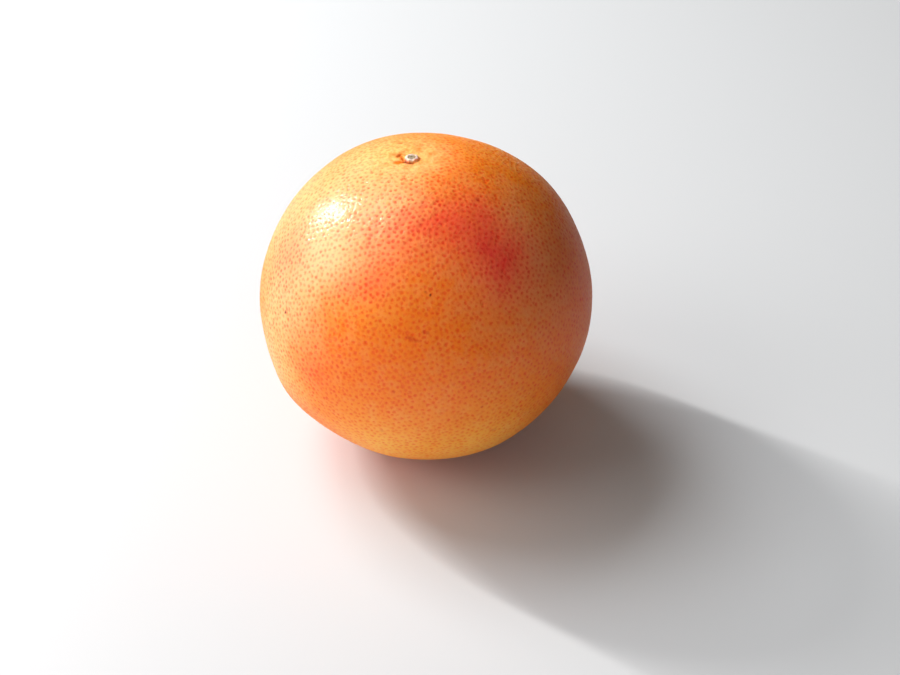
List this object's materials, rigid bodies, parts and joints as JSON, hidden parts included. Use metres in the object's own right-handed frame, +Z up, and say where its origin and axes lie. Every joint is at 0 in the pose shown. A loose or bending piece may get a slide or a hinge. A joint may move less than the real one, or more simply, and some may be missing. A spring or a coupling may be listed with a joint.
{
  "type": "grapefruit",
  "caption": "Whole grapefruit, slightly flattened, with pitted orange peel, a shallow stem hollow with its scar, a blossom-end dimple and a small flat spot to rest on.",
  "frame": {"origin": "middle of the flat spot that the fruit rests on", "axes": "+Z up from the resting surface, -Z out of the flat spot; +Y away from the viewer of the blushed front side, +X to that viewer's right; the stem end is up and leans about 5 degrees towards -X"},
  "size_m": [0.102, 0.1024, 0.0985],
  "materials": {
    "peel": "satin, waxy citrus peel, yellow-orange with a red blush and pitted by its oil glands"
  },
  "bodies": {
    "root": {"grapefruit": "peel"}
  },
  "joints": []
}
